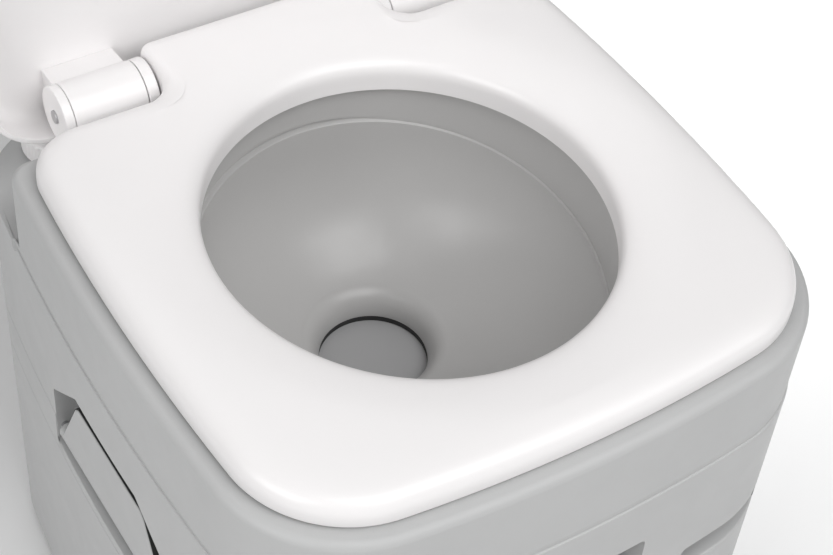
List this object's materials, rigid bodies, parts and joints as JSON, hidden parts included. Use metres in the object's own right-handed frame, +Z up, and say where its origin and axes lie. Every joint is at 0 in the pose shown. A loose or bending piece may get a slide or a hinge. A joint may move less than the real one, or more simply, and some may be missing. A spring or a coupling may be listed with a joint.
{
  "type": "cassette toilet",
  "caption": "Portable cassette toilet: flush-water tank with oval bowl, hinged seat and lid, latched onto a waste tank with a sliding valve and swivelling pouring spout.",
  "frame": {"origin": "on the floor under the middle of the body, level with the undersides of the feet", "axes": "+X to the right seen from the front, -Y out of the front (the side with the valve's grip), +Z up; seat down and lid standing open at rest"},
  "size_m": [0.3658, 0.4355, 0.7199],
  "materials": {
    "body_plastic": "fine satin texture, light grey",
    "bowl_plastic": "smooth satin gloss, mid grey",
    "white_plastic": "smooth satin white",
    "blade_plastic": "satin grey",
    "valve_plastic": "matt grey",
    "dark_plastic": "matt black",
    "red_plastic": "smooth red",
    "clear_plastic": "clear",
    "black_rubber": "matt",
    "steel": "brushed"
  },
  "bodies": {
    "waste_tank": {"tank_tub": "body_plastic", "tank_top": "body_plastic", "tank_feet": "black_rubber", "valve_housing": "valve_plastic", "valve_cover": "valve_plastic", "valve_seal": "black_rubber", "valve_screws": "steel", "spout_neck": "valve_plastic", "vent_bush": "valve_plastic", "vent_spring": "steel", "level_lens": "clear_plastic", "float_bracket": "valve_plastic", "handle_pins": "steel", "latch_pins": "steel"},
    "upper_unit": {"upper_shell": "body_plastic", "base_plate": "valve_plastic", "bowl": "bowl_plastic", "latch_keepers": "dark_plastic", "hinge_brackets": "white_plastic", "hinge_pins": "steel", "bracket_screws": "steel", "pump_body": "valve_plastic", "foot_valve": "black_rubber", "pump_spring": "steel", "flush_hose": "black_rubber", "spray_nozzle": "white_plastic", "filler_neck": "valve_plastic", "water_gauge": "clear_plastic"},
    "valve_slide": {"valve_blade": "blade_plastic", "pull_grip": "white_plastic"},
    "spout_arm": {"spout": "white_plastic", "spout_oring": "black_rubber"},
    "spout_washer": {"spout_gasket": "black_rubber"},
    "spout_stopper": {"spout_cap": "dark_plastic"},
    "vent": {"vent_button": "dark_plastic", "vent_oring": "black_rubber"},
    "level_float": {"float_arm": "white_plastic", "float_ball": "red_plastic"},
    "bail_handle": {"carry_handle": "white_plastic"},
    "left_lever": {"latch_left": "body_plastic"},
    "right_lever": {"latch_right": "body_plastic"},
    "pump_plunger": {"pump_rod": "steel", "pump_piston": "white_plastic", "piston_seal": "black_rubber", "pump_knob": "white_plastic"},
    "filler_washer": {"filler_gasket": "black_rubber"},
    "filler_stopper": {"filler_cap": "white_plastic"},
    "seat_ring": {"seat": "white_plastic", "seat_hinges": "white_plastic", "seat_buffers": "black_rubber"},
    "lid_cover": {"lid": "white_plastic", "lid_hinges": "white_plastic", "lid_buffers": "black_rubber"}
  },
  "joints": [
    {"name": "upper_lift", "type": "slide", "parent": "waste_tank", "child": "upper_unit", "axis": [0, 0, 1], "range_m": [0, 0.12]},
    {"name": "right_latch_swing", "type": "hinge", "parent": "waste_tank", "child": "right_lever", "pos_m": [0.175, -0.012, 0.209], "axis": [0, 1, 0], "range_deg": [0, 70]},
    {"name": "left_latch_swing", "type": "hinge", "parent": "waste_tank", "child": "left_lever", "pos_m": [-0.175, -0.012, 0.209], "axis": [0, -1, 0], "range_deg": [0, 70]},
    {"name": "valve_pull", "type": "slide", "parent": "waste_tank", "child": "valve_slide", "axis": [0, -1, 0], "range_m": [0, 0.078]},
    {"name": "spout_swivel", "type": "hinge", "parent": "waste_tank", "child": "spout_arm", "pos_m": [-0.11, 0.183, 0.149], "axis": [0, 0, 1], "range_deg": [0, 100]},
    {"name": "spout_cap_travel", "type": "slide", "parent": "spout_arm", "child": "spout_washer", "axis": [1, 0, 0], "range_m": [0, 0.012]},
    {"name": "spout_cap_turn", "type": "hinge", "parent": "spout_washer", "child": "spout_stopper", "pos_m": [0.014, 0.183, 0.149], "axis": [1, 0, 0], "range_deg": [0, 720]},
    {"name": "vent_press", "type": "slide", "parent": "waste_tank", "child": "vent", "axis": [0, 0, -1], "range_m": [0, 0.0035], "stiffness_N_per_m": 400, "springref_m": -0.003, "deforming": ["vent_spring"]},
    {"name": "float_swing", "type": "hinge", "parent": "waste_tank", "child": "level_float", "pos_m": [-0.085, -0.1775, 0.15], "axis": [0, -1, 0], "range_deg": [0, 75]},
    {"name": "handle_swing", "type": "hinge", "parent": "waste_tank", "child": "bail_handle", "pos_m": [0, -0.198, 0.122], "axis": [-1, 0, 0], "range_deg": [0, 100]},
    {"name": "seat_hinge", "type": "hinge", "parent": "upper_unit", "child": "seat_ring", "pos_m": [0, 0.146, 0.374], "axis": [-1, 0, 0], "range_deg": [0, 93]},
    {"name": "lid_hinge", "type": "hinge", "parent": "upper_unit", "child": "lid_cover", "pos_m": [0, 0.146, 0.374], "axis": [-1, 0, 0], "range_deg": [-98, 0]},
    {"name": "pump_press", "type": "slide", "parent": "upper_unit", "child": "pump_plunger", "axis": [0, 0, -1], "range_m": [0, 0.026], "stiffness_N_per_m": 300, "springref_m": -0.01, "deforming": ["pump_spring"]},
    {"name": "filler_cap_travel", "type": "slide", "parent": "upper_unit", "child": "filler_washer", "axis": [0, 0, 1], "range_m": [0, 0.01]},
    {"name": "filler_cap_turn", "type": "hinge", "parent": "filler_washer", "child": "filler_stopper", "pos_m": [-0.118, 0.18, 0.327], "axis": [0, 0, 1], "range_deg": [0, 720]}
  ],
  "couplings": [
    {"joint": "right_latch_swing", "follows": "upper_lift", "rad_per_m": 10},
    {"joint": "left_latch_swing", "follows": "upper_lift", "rad_per_m": 10},
    {"joint": "spout_cap_travel", "follows": "spout_cap_turn", "m_per_rad": 0.000947},
    {"joint": "filler_cap_travel", "follows": "filler_cap_turn", "m_per_rad": 0.000788}
  ]
}
